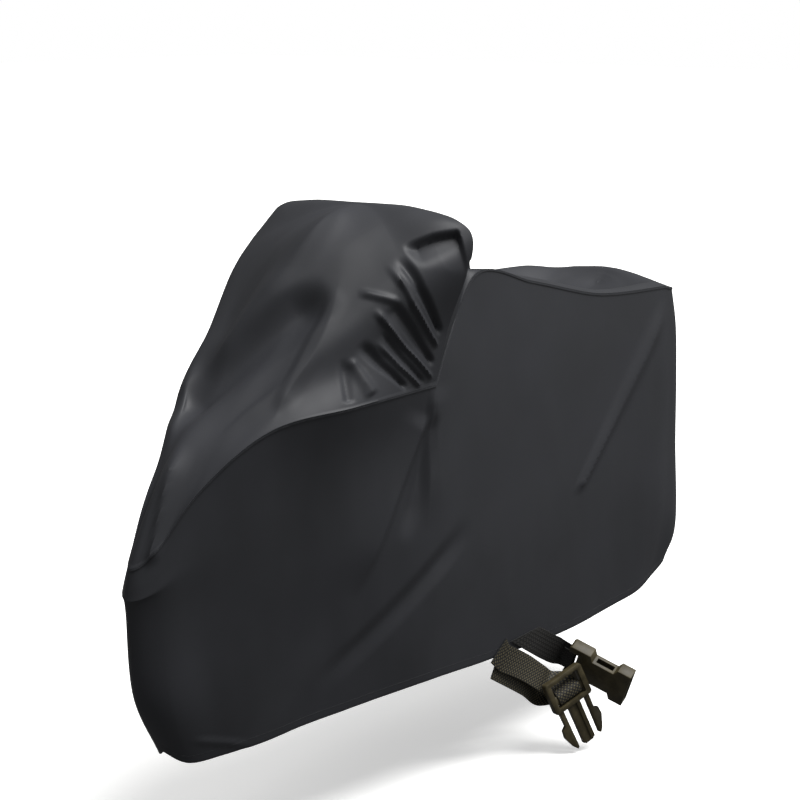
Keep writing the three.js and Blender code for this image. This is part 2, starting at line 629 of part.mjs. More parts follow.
const CLOTH = { color: 0x35363a, roughness: 0.55, metalness: 0 };
const TAPE = { color: 0x1c1b18, roughness: 0.85, metalness: 0 };
const PLASTIC = { color: 0x5a5238, roughness: 0.45, metalness: 0 };
const cover = new THREE.Group();

function addMesh(parent, name, geometry, finish) {
  const mesh = new THREE.Mesh(geometry, new THREE.MeshStandardMaterial(finish));
  mesh.name = name;
  parent.add(mesh);
  return mesh;
}

addMesh(cover, "top_panel", panelSolid("top"), CLOTH);
addMesh(cover, "left_panel", panelSolid("left"), CLOTH);
addMesh(cover, "right_panel", panelSolid("right"), CLOTH);
addMesh(cover, "front_strap", webbing(FRONT_STRAP), TAPE);
addMesh(cover, "rear_strap", webbing(REAR_STRAP), TAPE);
addMesh(cover, "buckle_prongs", fromSolid(prongHalf(PRONG_HALF)), PLASTIC).applyMatrix4(placement(PRONG_HALF));
addMesh(cover, "buckle_socket", fromSolid(socketHalf(SOCKET_HALF)), PLASTIC).applyMatrix4(
  placement(SOCKET_HALF),
);

cover.position.set(0, -CARRIED_AT.y, -CARRIED_AT.z);
export default cover;
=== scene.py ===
# %% [markdown]
# # A fitted cover, from a table of sections to sewn cloth
# The object is a cover that keeps the shape of what it was pulled over. It has one long top panel,
# two side panels, and two straps of flat webbing whose ends carry the halves of a buckle.
# The imported model is loaded first. It is the fixed frame: every piece here is made in metres,
# in the same place, and its lowest and highest corner are kept to place the floor and the lights.

# %% Load the frame
import math

import bpy
import numpy as np
from mathutils import Matrix, Vector, noise


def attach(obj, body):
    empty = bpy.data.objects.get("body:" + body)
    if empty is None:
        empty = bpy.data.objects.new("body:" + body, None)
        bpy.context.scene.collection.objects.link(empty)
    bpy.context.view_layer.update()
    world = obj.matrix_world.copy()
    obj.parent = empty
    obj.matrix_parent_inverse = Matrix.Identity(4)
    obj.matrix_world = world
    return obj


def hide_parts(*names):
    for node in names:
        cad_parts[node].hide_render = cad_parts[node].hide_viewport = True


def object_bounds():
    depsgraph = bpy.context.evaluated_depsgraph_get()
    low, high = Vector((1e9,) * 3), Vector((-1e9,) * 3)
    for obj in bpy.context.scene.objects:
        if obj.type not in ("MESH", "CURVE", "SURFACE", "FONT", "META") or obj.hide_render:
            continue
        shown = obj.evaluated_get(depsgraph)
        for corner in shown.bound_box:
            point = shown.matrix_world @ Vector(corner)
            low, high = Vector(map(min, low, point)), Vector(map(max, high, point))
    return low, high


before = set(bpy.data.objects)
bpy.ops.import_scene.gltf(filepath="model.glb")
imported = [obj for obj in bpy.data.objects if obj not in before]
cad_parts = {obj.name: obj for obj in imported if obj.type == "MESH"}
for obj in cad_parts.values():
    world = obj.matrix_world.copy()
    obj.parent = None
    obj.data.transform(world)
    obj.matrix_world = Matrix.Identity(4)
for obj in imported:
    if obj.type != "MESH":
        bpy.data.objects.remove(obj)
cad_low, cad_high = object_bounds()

MM = 0.001

# %% [markdown]
# ## Camera
# The view is from the front left and a little above, from about five metres. A long lens keeps the
# nose and the tail nearly the same size. The camera is placed by its direction from the target, so
# the angles can be read straight from the names. Every object is put in the scene by one helper.

# %% Camera
VIEW = {"azimuth": 40, "elevation": 12, "distance": 5.07, "target": (-0.075, 0.205, -0.537)}
LENS, SENSOR = 86.9, 36


def from_direction(azimuth, elevation):
    """The direction from the object towards a viewer at these angles, in degrees."""
    a, e = math.radians(azimuth), math.radians(elevation)
    return Vector((math.sin(a) * math.cos(e), -math.cos(a) * math.cos(e), math.sin(e)))


def new_object(name, data):
    """An object with this data, in the scene."""
    obj = bpy.data.objects.new(name, data)
    bpy.context.collection.objects.link(obj)
    return obj


towards_camera = from_direction(VIEW["azimuth"], VIEW["elevation"])
camera = new_object("camera", bpy.data.cameras.new("camera"))
camera.location = Vector(VIEW["target"]) + towards_camera * VIEW["distance"]
camera.rotation_mode = "QUATERNION"
camera.rotation_quaternion = towards_camera.to_track_quat("Z", "Y")
camera.data.lens = LENS
camera.data.sensor_width = SENSOR
camera.data.clip_end = 60
bpy.context.scene.camera = camera
print("camera at", [round(v, 2) for v in camera.location])

# %% [markdown]
# ## Colours and nodes
# Colours are written as sRGB hex values, as a colour chart gives them, and turned to the linear
# values that the shader works with. The other helpers add a shader node with its settings and
# links, link nodes to the main shader, and mix two colours.

# %% Helpers for materials


def linear(colour):
    """An sRGB hex colour as linear red, green, blue and alpha."""
    parts = [int(colour[i : i + 2], 16) / 255 for i in (1, 3, 5)]
    return (*[c / 12.92 if c <= 0.04045 else ((c + 0.055) / 1.055) ** 2.4 for c in parts], 1.0)


def add_node(owner, kind, settings=None, **inputs):
    """A node of a material or the world, with each input set to a value or linked to a socket. A
    key such as s0 is the input's number, and any other key is its name with _ for a space."""
    node = owner.node_tree.nodes.new("ShaderNode" + kind)
    for name, value in (settings or {}).items():
        setattr(node, name, value)
    for name, value in inputs.items():
        key = int(name[1:]) if name[0] == "s" and name[1:].isdigit() else name.replace("_", " ")
        if isinstance(value, bpy.types.NodeSocket):
            owner.node_tree.links.new(value, node.inputs[key])
        else:
            node.inputs[key].default_value = value
    return node


def new_material(name, **settings):
    """A material with one Principled shader, and that shader."""
    material = bpy.data.materials.new(name)
    material.use_nodes = True
    material.node_tree.nodes.clear()
    shader = add_node(material, "BsdfPrincipled", **settings)
    add_node(material, "OutputMaterial", Surface=shader.outputs[0])
    return material, shader


def feed(material, shader, **inputs):
    """Links sockets to inputs of the shader, each named with _ for a space."""
    for name, socket in inputs.items():
        material.node_tree.links.new(socket, shader.inputs[name.replace("_", " ")])


def two_tones(material, value, dark, light, low=0.0, high=1.0):
    """The colour between two sRGB hex colours as a value goes from low to high."""
    tone = add_node(material, "ValToRGB", Fac=value)
    for stop, colour, position in zip(tone.color_ramp.elements, (dark, light), (low, high)):
        stop.position = position
        stop.color = linear(colour)
    return tone.outputs[0]


print("charcoal in linear values:", [round(v, 3) for v in linear("#2f3033")])


# %% [markdown]
# ## Studio
# The cloth is nearly black, so its form shows only by how the satin face catches light. A broad
# soft light stands high behind the flank: the hood's top and the saddle catch it, the flank gets a
# little, and the front face stays dark. All three lights are very distant, so the white table is
# lit evenly. The world is white to the camera and dim to the object, and the table glows a little
# and sends no light back up, so the shadows stay soft and the ground stays white.

# %% Floor and lights
FLOOR_SIZE, FLOOR_BELOW = 80, 0.012
LIGHTS = {  # azimuth, elevation, strength, and the angle that the light fills in the sky
    "key_light": (125, 66, 4.4, 36),
    "fill_light": (122, 12, 0.45, 60),
    "top_light": (0, 78, 0.6, 70),
}
WORLD_STRENGTH = 0.16

middle = (cad_low + cad_high) / 2
bpy.ops.mesh.primitive_plane_add(
    size=FLOOR_SIZE, location=(middle.x, middle.y, cad_low.z - FLOOR_BELOW)
)
floor = bpy.context.object
floor.name = "floor"
table, _ = new_material(
    "lit_white_acrylic", Base_Color=linear("#f4f4f2"), Roughness=0.9,
    Emission_Color=linear("#ffffff"), Emission_Strength=0.5,
)
floor.data.materials.append(table)
floor.visible_diffuse = False
floor.visible_glossy = False


def add_sun(name, azimuth, elevation, strength, angle):
    """A very distant soft light from a direction, which lights the whole floor evenly."""
    light = new_object(name, bpy.data.lights.new(name, "SUN"))
    direction = from_direction(azimuth, elevation)
    light.location = middle + direction * 5
    light.rotation_mode = "QUATERNION"
    light.rotation_quaternion = direction.to_track_quat("Z", "Y")
    light.data.energy = strength
    light.data.angle = math.radians(angle)


for name, setting in LIGHTS.items():
    add_sun(name, *setting)
world = bpy.data.worlds.new("studio")
bpy.context.scene.world = world
world.use_nodes = True
background = world.node_tree.nodes["Background"]
background.inputs["Color"].default_value = (1, 1, 1, 1)
seen = add_node(world, "LightPath")
strength = add_node(
    world, "MapRange", Value=seen.outputs["Is Camera Ray"], To_Min=WORLD_STRENGTH, To_Max=1.0
)
feed(world, background, Strength=strength.outputs[0])
bpy.context.scene.view_settings.view_transform = "Standard"
print("floor at", round(floor.location.z, 3), "with", len(LIGHTS), "lights")

# %% [markdown]
# ## The form
# A cover maker cuts panels to a table of measurements taken at stations along the machine. The same
# is done here. Each row is one station on the left half, from the stem at the nose to the stern,
# and each column is a line that runs along the cover. All the cloth is worked out from this table.

# %% Table of stations
# Millimetres above the ground, nose towards -Y, left side towards +X. The frame's origin is the
# point under the top where the cover rests.
ORIGIN = np.array([0.0, -185.0, 1252.0])
# at: the share of the way round. hem to seam lie on the side panel, lift to crest on the top panel.
#    at     hem               low               belly             under             seam
#           lift              brow              shoulder          crest
STATIONS = [
    (0.000, (0, -925, 52), (0, -992, 195), (0, -1010, 390), (0, -1014, 455), (0, -1004, 508),
     (0, -915, 680), (0, -650, 925), (0, -482, 1132), (0, -330, 1242)),
    (0.070, (44, -888, 22), (56, -948, 185), (52, -970, 400), (46, -980, 480), (40, -962, 546),
     (46, -882, 690), (54, -640, 929), (38, -468, 1137), (0, -312, 1247)),
    (0.150, (86, -800, 28), (96, -845, 210), (100, -872, 420), (98, -882, 590), (94, -878, 675),
     (94, -780, 788), (104, -603, 943), (71, -435, 1154), (0, -288, 1251)),
    (0.240, (136, -665, 50), (146, -685, 235), (158, -708, 430), (166, -730, 700), (172, -735, 797),
     (160, -668, 862), (160, -512, 1028), (99, -382, 1182), (0, -258, 1253)),
    (0.340, (196, -420, 74), (212, -445, 250), (226, -478, 450), (240, -520, 740), (262, -532, 836),
     (242, -470, 915), (235, -350, 1130), (128, -289, 1222), (0, -228, 1254)),
    (0.430, (242, -190, 86), (254, -205, 260), (262, -220, 460), (264, -250, 760), (274, -264, 848),
     (286, -240, 960), (315, -190, 1215), (180, -188, 1250), (0, -185, 1254)),
    (0.480, (250, -60, 82), (260, -62, 270), (264, -70, 480), (258, -95, 850), (248, -158, 985),
     (240, -112, 1080), (228, -98, 1192), (128, -98, 1224), (0, -100, 1235)),
    (0.530, (252, 80, 78), (262, 75, 270), (265, 70, 480), (250, 30, 920), (237, -60, 1090),
     (214, -62, 1098), (150, 20, 1078), (80, 27, 1102), (0, 30, 1120)),
    (0.600, (253, 260, 72), (263, 255, 270), (267, 250, 480), (250, 200, 900), (234, 170, 1044),
     (212, 172, 1054), (120, 175, 1030), (61, 189, 1031), (0, 200, 1035)),
    (0.720, (252, 520, 84), (263, 525, 280), (267, 525, 480), (250, 480, 860), (238, 460, 978),
     (214, 462, 986), (120, 450, 935), (61, 455, 929), (0, 460, 930)),
    (0.860, (232, 768, 108), (250, 806, 290), (253, 808, 480), (248, 798, 850), (238, 790, 958),
     (206, 776, 968), (115, 700, 918), (59, 689, 913), (0, 690, 915)),
    (0.935, (196, 895, 158), (206, 925, 240), (200, 918, 500), (196, 906, 850), (190, 892, 942),
     (162, 862, 958), (88, 808, 945), (45, 797, 939), (0, 795, 935)),
    (1.000, (0, 930, 165), (0, 945, 320), (0, 942, 500), (0, 930, 860), (0, 912, 968),
     (0, 886, 978), (0, 850, 965), (0, 834, 955), (0, 815, 945)),
]
SIDE_LINES = np.array([0, 0.22, 0.46, 0.86, 1])
TOP_LINES = np.array([0, 0.18, 0.58, 0.79, 1])
# Columns of cloth from each station to the next, and rows from each line to the next.
LEFT_COLUMNS = (6, 14, 20, 38, 70, 24, 12, 10, 16, 18, 8, 12)
RIGHT_COLUMNS = (4, 12, 14, 20, 30, 14, 10, 10, 14, 16, 6, 10)
SIDE_ROWS = (24, 24, 46, 22)
TOP_ROWS = (26, 56, 26, 8)
# Stations where a panel is creased across, and where that crease begins and is full on the way up
# the panel. The top panel is creased at the hood's front corner and at the bar end, where it dies
# out towards the crest, and the side panel under the bar end.
SIDE_CREASED, SIDE_CREASE = (5,), (0.45, 0.8)
TOP_CREASED, TOP_CREASE = (3, 5), (0.72, 0.56)
# How far the first stations run on over the crest in their own direction: 1 all the way, 0 straight
# across it like the other stations.
CREST_RUN = (1, 0.95, 0.8, 0.55, 0.25)
# The step that the stern takes past its crest, which only sets its slope there.
PAST_STERN = (0, -30, -4)
SEAM, LIFT, BROW, SHOULDER, CREST = 4, 5, 6, 7, 8
# The right side isn't the left one's mirror: shifts of its points, with x outwards.
RIGHT_SHIFTS = [
    (2, LIFT, (10, -4, 4)),
    (3, LIFT, (8, -4, 4)),
    (3, BROW, (-5, -5, 0)),
    (4, BROW, (6, -25, 4)),
    (5, BROW, (-3, 0, 6)),
    (4, SEAM, (-20, 20, -5)),
    (3, SEAM, (-12, 10, -5)),
]
at = np.array([row[0] for row in STATIONS])
left_table = np.array([row[1:] for row in STATIONS], float)
right_table = left_table.copy()
for station, line, shift in RIGHT_SHIFTS:
    right_table[station, line] += shift
print(len(at), "stations with", left_table.shape[1], "lines each")

# %% [markdown]
# ## From the table to a grid of points
# Between the rows of the table the cloth is smooth, so each line is a curve that passes through its
# points with a slope taken from both neighbours. At a crease the slope breaks. The same function
# first fills in the rows up each station and then the columns along the cover.

# %% Curves through the table


def through(rows, knots, places, creased=(), sharp=1):
    """Points on a smooth curve through rows of values at their knots. The first and the last row
    only set the slope at the ends. At a creased row the slope breaks, by the share sharp."""
    span = np.diff(knots)
    rise = np.diff(rows, axis=0) / span.reshape((-1,) + (1,) * (rows.ndim - 1))
    before, after = np.zeros_like(rows), np.zeros_like(rows)
    for i in range(1, len(rows) - 1):
        even = (rise[i - 1] * span[i] + rise[i] * span[i - 1]) / (span[i - 1] + span[i])
        share = sharp if i in creased else 0
        before[i] = even + (rise[i - 1] - even) * share
        after[i] = even + (rise[i] - even) * share
    k = np.clip(np.searchsorted(knots, places, side="right") - 1, 1, len(knots) - 3)
    shape = (-1,) + (1,) * (rows.ndim - 1)
    h, s = span[k].reshape(shape), ((places - knots[k]) / span[k]).reshape(shape)
    return (
        (2 * s**3 - 3 * s**2 + 1) * rows[k]
        + (s**3 - 2 * s**2 + s) * h * after[k]
        + (3 * s**2 - 2 * s**3) * rows[k + 1]
        + (s**3 - s**2) * h * before[k + 1]
    )


def divide(knots, steps):
    """Values from the first knot to the last, with each span cut into its steps."""
    spans = [np.linspace(a, b, n, endpoint=False) for a, b, n in zip(knots, knots[1:], steps)]
    return np.append(np.concatenate(spans), knots[-1])


def wide_knots(knots):
    """The knots with one more before the first and after the last."""
    return np.concatenate([[2 * knots[0] - knots[1]], knots, [2 * knots[-1] - knots[-2]]])


def unit(vectors):
    """Each vector with a length of 1."""
    return vectors / np.linalg.norm(vectors, axis=1, keepdims=True)


def run_along(line):
    """How far each point of a line is from its start."""
    return np.concatenate([[0], np.cumsum(np.linalg.norm(np.diff(line, axis=0), axis=1))])


MIRROR = np.array([-1, 1, 1])


def smooth(x):
    """From 0 to 1 with no slope at either end."""
    x = np.clip(x, 0, 1)
    return x * x * (3 - 2 * x)


def panel_grid(points, first, last, lines, rows, columns, creased, crease):
    """Grid of one panel on one half: columns from stem to stern, rows from low to high."""
    up = divide(lines, rows)
    sharp = smooth((up - crease[0]) / (crease[1] - crease[0]))[:, None]
    stations = [
        through(np.vstack([a, line, b]), wide_knots(lines), up)
        for a, line, b in zip(first, points, last)
    ]
    around = np.array([stations[1] * MIRROR, *stations, stations[-2] * MIRROR])
    return through(around, wide_knots(at), divide(at, columns), [k + 1 for k in creased], sharp)


def half_grids(table, columns):
    """The side and the top grid of one half."""
    side, top = table[:, : SEAM + 1], table[:, SEAM:]
    first = 2 * top[:, 0] - top[:, 1]
    first[:2] = side[:2, -2]
    crest, shoulder = table[:, CREST], table[:, SHOULDER]
    run = np.zeros(len(at))
    run[: len(CREST_RUN)] = CREST_RUN
    run *= 2 * (crest - shoulder)[:, 1]
    step = crest[[*range(1, len(at)), -1]] - crest[[0, *range(len(at) - 1)]]
    tilt = step[:, 2] / step[:, 1]
    last = shoulder * MIRROR + np.stack([0 * run, run, run * tilt], axis=1)
    last[-1] = crest[-1] + PAST_STERN
    side_grid = panel_grid(side, 2 * side[:, 0] - side[:, 1], 2 * side[:, -1] - side[:, -2],
                           SIDE_LINES, SIDE_ROWS, columns, SIDE_CREASED, SIDE_CREASE)
    top_grid = panel_grid(top, first, last, TOP_LINES, TOP_ROWS, columns, TOP_CREASED, TOP_CREASE)
    near_seam = 1 - smooth(divide(TOP_LINES, TOP_ROWS) / TOP_LINES[1])
    top_grid += (side_grid[:, -1] - top_grid[:, 0])[:, None] * near_seam[:, None]
    top_grid[:, 0] = side_grid[:, -1]
    return side_grid, top_grid


CHEEK = {"y": -860, "z": 660, "long": 130, "tall": 170, "drawn_in": 0.38}
SADDLE = {"rise": 10, "from_x": 120, "from_y": 100, "over_y": 400, "from_z": 800, "over_z": 100}


def to_right(grid):
    """A grid of the left half on the right, drawn in at the cheek and higher behind the saddle."""
    x, y, z = np.moveaxis(grid, -1, 0)
    away = ((y - CHEEK["y"]) / CHEEK["long"]) ** 2 + ((z - CHEEK["z"]) / CHEEK["tall"]) ** 2
    lift = (
        SADDLE["rise"]
        * np.clip(x / SADDLE["from_x"], 0, 1)
        * np.clip((y - SADDLE["from_y"]) / SADDLE["over_y"], 0, 1)
        * np.clip((z - SADDLE["from_z"]) / SADDLE["over_z"], 0, 1)
    )
    return np.stack([-x * (1 - CHEEK["drawn_in"] * np.exp(-away)), y, z + lift], axis=-1)


left_half = half_grids(left_table, LEFT_COLUMNS)
right_half = [to_right(grid) for grid in half_grids(right_table, RIGHT_COLUMNS)]
grids = dict(zip(("left", "top_left", "right", "top_right"), (*left_half, *right_half)))
print({name: grid.shape[:2] for name, grid in grids.items()})

# %% [markdown]
# ## One skin before the panels
# Folds have to run across the seams without a step, so the grids are first joined into one skin:
# points that lie in the same place become one point. Each point's outward direction is the average
# of its faces, and a fold moves points along it.

# %% Join the grids into one skin
WELD = 3  # decimals of a millimetre


def grid_faces(index):
    """Four-cornered faces between the columns and rows of a grid of point numbers."""
    a, b, c, d = index[:-1, :-1], index[1:, :-1], index[1:, 1:], index[:-1, 1:]
    return np.stack([a, b, c, d], axis=-1).reshape(-1, 4)


every = np.concatenate([g.reshape(-1, 3) for g in grids.values()])
_, chosen, place = np.unique((every + 0.0).round(WELD), axis=0, return_index=True, return_inverse=True)
skin = every[chosen]
ends = np.cumsum([0] + [g[..., 0].size for g in grids.values()])
index = {
    name: place.reshape(-1)[a:b].reshape(g.shape[:2])
    for (name, g), a, b in zip(grids.items(), ends, ends[1:])
}
faces = np.concatenate(
    [grid_faces(i) if "right" not in name else grid_faces(i)[:, ::-1] for name, i in index.items()]
)


def outward(points):
    """The outward direction at each point of the skin."""
    a, b, c, d = (points[faces[:, k]] for k in range(4))
    across = np.cross(c - a, d - b)
    total = np.zeros_like(points)
    for k in range(4):
        np.add.at(total, faces[:, k], across)
    return unit(total)


print("skin of", len(skin), "points and", len(faces), "faces")

# %% [markdown]
# ## Folds
# The cloth hangs from a few hard points, and each fold runs from one of them: the fan that gathers
# under the bar end, the slit behind it, the trough down the nose, the drapes on the flank. A fold is
# one row of a table, with its two ends, how far it reaches to each side, and how high and how crisp
# it is. Placing them one by one keeps each where it should be, which a simulation wouldn't.

# %% Fold table
# wide is the reach on the left and right, seen from outside along the fold, at its start and its
# end. high is out where it is positive. crisp goes from 0, round, to 1, sharp. fade is the share of
# its length over which it dies out at its start and its end. over is a place between that it bends
# through, where the cloth turns too far for a straight fold.
#    from               to                 wide              high  crisp  fade        over
FOLDS = [
    # left bar end: the fan that runs up from the pinch under the bar, and the slit below its tip
    ((286, -255, 965), (212, -335, 1158), (9, 12, 18, 26), -13, 0.2, (0.1, 0.2), (280, -330, 1080)),
    ((282, -262, 935), (197, -357, 1142), (8, 8, 15, 15), 11, 0.6, (0.1, 0.25), (275, -350, 1055)),
    ((281, -275, 895), (245, -400, 1055), (10, 10, 36, 26), -12, 0.2, (0.1, 0.12), (268, -345, 985)),
    ((276, -275, 860), (227, -438, 1048), (8, 8, 13, 13), 11, 0.8, (0.1, 0.12), (265, -370, 955)),
    ((275, -300, 852), (243, -432, 998), (8, 8, 13, 13), -8, 0.5, (0.12, 0.2), (265, -375, 925)),
    ((272, -315, 846), (238, -447, 978), (8, 8, 14, 14), 9, 0.7, (0.12, 0.25), (265, -390, 910)),
    ((270, -365, 850), (223, -483, 973), (10, 10, 28, 24), -12, 0.3, (0.12, 0.2), (255, -435, 915)),
    ((265, -480, 850), (215, -508, 942), (34, 30, 14, 14), 8, 0.3, (0.15, 0.2)),
    ((250, -550, 842), (208, -520, 942), (16, 20, 18, 22), -7, 0.3, (0.1, 0.3)),
    ((180, -440, 1080), (265, -375, 1055), (16, 14, 14, 12), 8, 0.4, (0.25, 0.25), (230, -415, 1072)),
    ((302, -208, 1207), (215, -315, 1168), (95, 12, 60, 18), -20, 0.3, (0.06, 0.25), (262, -258, 1195)),
    # nose: the broad trough down the front with the ridge above it, the hood's corner, the ridge
    # over the wheel and a small crease above the hem
    ((125, -470, 1095), (-115, -790, 790), (80, 70, 100, 90), -34, 0.1, (0.2, 0.2)),
    ((25, -465, 1140), (-120, -700, 920), (60, 80, 70, 90), 12, 0.2, (0.3, 0.3)),
    ((140, -460, 1095), (160, -700, 835), (50, 26, 44, 24), 6, 0.4, (0.2, 0.15), (148, -580, 960)),
    ((5, -832, 765), (35, -982, 515), (45, 14, 26, 12), 13, 0.7, (0.3, 0.12)),
    ((55, -895, 85), (110, -740, 40), (12, 12, 12, 12), 4, 0.5, (0.3, 0.3)),
    # left side: the edge below the pinch, the turn from the front face to the flank with a hollow
    # behind it, a long drape and the fold at the tail
    ((278, -268, 850), (260, -275, 475), (110, 22, 120, 30), 8, 0.5, (0.15, 0.4)),
    ((270, -285, 780), (210, -500, 350), (26, 100, 30, 110), 10, 0.6, (0.1, 0.3)),
    ((205, -520, 330), (130, -735, 0), (90, 90, 70, 70), 6, 0.2, (0.5, 0.05)),
    ((268, -250, 780), (250, -355, 465), (30, 30, 45, 45), -8, 0.3, (0.15, 0.3)),
    ((265, -105, 480), (165, -595, 140), (50, 40, 50, 40), -8, 0.3, (0.25, 0.3)),
    ((240, 800, 925), (270, 350, 455), (60, 50, 16, 14), 13, 0.9, (0.2, 0.05)),
    # right side: its own fan, two drapes and a fold at the tail
    ((-268, -275, 845), (-225, -370, 1140), (8, 8, 24, 24), -14, 0.4, (0.1, 0.25)),
    ((-268, -285, 850), (-240, -410, 1080), (6, 6, 16, 16), 10, 0.8, (0.1, 0.25)),
    ((-262, -300, 845), (-235, -450, 1010), (12, 12, 28, 28), 11, 0.5, (0.1, 0.25)),
    ((-262, -260, 760), (-215, -490, 330), (80, 60, 80, 60), 10, 0.5, (0.2, 0.2)),
    ((-264, -150, 800), (-262, 20, 180), (50, 50, 60, 60), -9, 0.2, (0.3, 0.2)),
    ((-248, 720, 920), (-266, 430, 330), (50, 60, 30, 30), 10, 0.8, (0.15, 0.2)),
    # tail: two drapes that hang from the corners
    ((150, 905, 920), (40, 942, 380), (50, 50, 60, 60), 9, 0.5, (0.15, 0.3)),
    ((-150, 905, 920), (-80, 942, 300), (60, 50, 60, 60), -9, 0.2, (0.2, 0.3)),
]
# A fold dies out where the cloth is this far in front of it or behind it.
DEPTH = {"reach": 180, "soft": 60}
# How often the outward directions are averaged before the folds move the cloth along them.
EVEN_ROUNDS = 24


def fold_height(points, out, start, end, wide, high, crisp, fade, over=None):
    """How far one fold lifts each point along its outward direction."""
    path = np.array([start, end] if over is None else [start, over, end], float)
    legs = np.diff(path, axis=0)
    spans = np.linalg.norm(legs, axis=1)
    nearest = np.full(len(points), np.inf)
    t, depth, on_left = np.zeros(len(points)), np.zeros(len(points)), np.zeros(len(points), bool)
    for k, leg in enumerate(legs):
        share = np.clip((points - path[k]) @ leg / spans[k] ** 2, 0, 1)
        off = points - path[k] - share[:, None] * leg
        deep = (off * out).sum(1)
        off -= out * deep[:, None]
        here = np.linalg.norm(off, axis=1) < nearest
        nearest = np.where(here, np.linalg.norm(off, axis=1), nearest)
        depth = np.where(here, deep, depth)
        t = np.where(here, (spans[:k].sum() + share * spans[k]) / spans.sum(), t)
        on_left = np.where(here, (np.cross(leg, off) * out).sum(1) > 0, on_left)
    reach = np.where(on_left, wide[0] + (wide[2] - wide[0]) * t, wide[1] + (wide[3] - wide[1]) * t)
    r = np.clip(nearest / reach, 0, 1)
    profile = (1 - crisp) * (1 - r * r) ** 2 + crisp * (1 - r) ** 2
    ends = smooth(t / fade[0]) * smooth((1 - t) / fade[1])
    return high * profile * ends * smooth((DEPTH["reach"] - abs(depth)) / DEPTH["soft"])


def evened(directions, rounds):
    """Directions averaged with their neighbours', so that a deep fold doesn't cross itself."""
    for _ in range(rounds):
        mean = directions[faces].mean(1)
        total = np.zeros_like(directions)
        for k in range(4):
            np.add.at(total, faces[:, k], mean)
        directions = unit(total)
    return directions


out = evened(outward(skin), EVEN_ROUNDS)
lift = sum(fold_height(skin, out, *fold) for fold in FOLDS)
print(len(FOLDS), "folds, from", round(lift.min(), 1), "to", round(lift.max(), 1), "mm")

# %% [markdown]
# ## Slack
# Even between the folds, thin cloth is never a perfect surface. A slow noise, longer down the fall
# of the cloth than across it, stands for the slack that gravity pulls into shallow hollows.

# %% Slack in the cloth
SLACK = [  # across, down, height in millimetres
    (160, 420, 2.6),
    (55, 150, 0.8),
]


def slack_height(p):
    """How far the slack lifts the cloth at a point."""
    return sum(
        height * noise.noise(Vector((p[0] / across, p[1] / across, p[2] / down)))
        for across, down, height in SLACK
    )


lift = lift + np.array([slack_height(p) for p in skin])
skin = (skin + out * lift[:, None] - ORIGIN) * MM
out = outward(skin)
print("cloth from", skin.min(0).round(3), "to", skin.max(0).round(3))

# %% [markdown]
# ## Seams and hem
# The top panel laps over both side panels, and the left one over the right at the stem and the
# stern, as the allowance of a felled seam does. The side panels end in a hem that is turned up
# inside. Both are part of the cloth, so they are extra rows of its grid.

# %% Laps and turned hem
CLOTH = 0.6 * MM
LAP = 7 * MM
TOP_LIFT = 1.7 * MM
STEM_LIFT = 1.0 * MM
HEM_DEPTH = 24 * MM
HEM_INSIDE = 2.2 * MM
# Rows on the hem's inside, as shares of its depth, and round its edge, as shares of the space
# inside it: how far inwards and how far down.
HEM_INNER_ROWS = (1, 0.66, 0.33, 0.06)
HEM_ROUND = ((0.85, 0.35), (0.5, 0.5), (0.15, 0.35))
BUTT = 0.25 * MM


def spots(name):
    """The points and the outward directions of one grid."""
    return skin[index[name]], out[index[name]]


def lap_over(edge, edge_out, neighbour, raised):
    """The edge of an upper panel and the end of its lap, which lies over the neighbour's points."""
    return edge + edge_out * raised, edge + unit(neighbour - edge) * LAP + edge_out * raised


def along_column(grid, directions, distance):
    """Points and directions this far up each column from its first row."""
    steps = np.linalg.norm(np.diff(grid, axis=1), axis=2)
    length = np.cumsum(steps, axis=1)
    k = (length < distance).sum(1)
    i = np.arange(len(k))
    rest = (distance - np.where(k > 0, length[i, k - 1], 0)) / steps[i, k]
    a, b = grid[i, k], grid[i, k + 1]
    return a + (b - a) * rest[:, None], directions[i, k]


def turned_hem(grid, directions):
    """Rows from the top of the hem's inside down to the edge."""
    up = unit(grid[:, 1] - grid[:, 0])
    inside = []
    for share in HEM_INNER_ROWS:
        spot, direction = along_column(grid, directions, HEM_DEPTH * share)
        inside.append(spot - direction * HEM_INSIDE)
    for inwards, down in HEM_ROUND:
        inside.append(grid[:, 0] - directions[:, 0] * HEM_INSIDE * inwards - up * HEM_INSIDE * down)
    return np.stack(inside, axis=1)


def side_rows(name):
    """The grid of a side panel with its turned hem."""
    grid, directions = spots(name)
    grid = grid.copy()
    grid[[0, -1], :, 0] += BUTT if name == "left" else -BUTT
    return np.concatenate([turned_hem(grid, directions), grid], axis=1)


def top_rows(name, side):
    """The grid of half the top panel with its lap over a side panel."""
    grid, directions = spots(name)
    below = spots(side)[0][:, -2]
    raised, end = lap_over(grid[:, 0], directions[:, 0], below, TOP_LIFT)
    return np.concatenate([end[:, None], raised[:, None], grid[:, 1:]], axis=1)


left_side, right_side = side_rows("left"), side_rows("right")
print("side grid", left_side.shape[:2], "top grid", top_rows("top_left", "left").shape[:2])

# %% [markdown]
# The left panel's lap at the stem and the stern is a pair of extra columns. The hem rows are left
# out of it, because there the two hems only meet.

# %% Laps at the stem and the stern
HEM_ROWS = left_side.shape[1] - index["left"].shape[1]


def with_side_laps(left, right):
    """The left grid with one more column at each end, over the right panel."""
    _, directions = spots("left")
    columns = list(left)
    for end, beside in ((0, 1), (-1, -2)):
        direction = np.vstack([np.repeat(directions[end, :1], HEM_ROWS, 0), directions[end]])
        neighbour = right[beside]
        raised, lap = lap_over(left[end], direction, neighbour, STEM_LIFT)
        columns[end] = raised
        columns.insert(0 if end == 0 else len(columns), lap)
    return np.array(columns)


left_side = with_side_laps(left_side, right_side)
print("left grid with its laps", left_side.shape[:2])

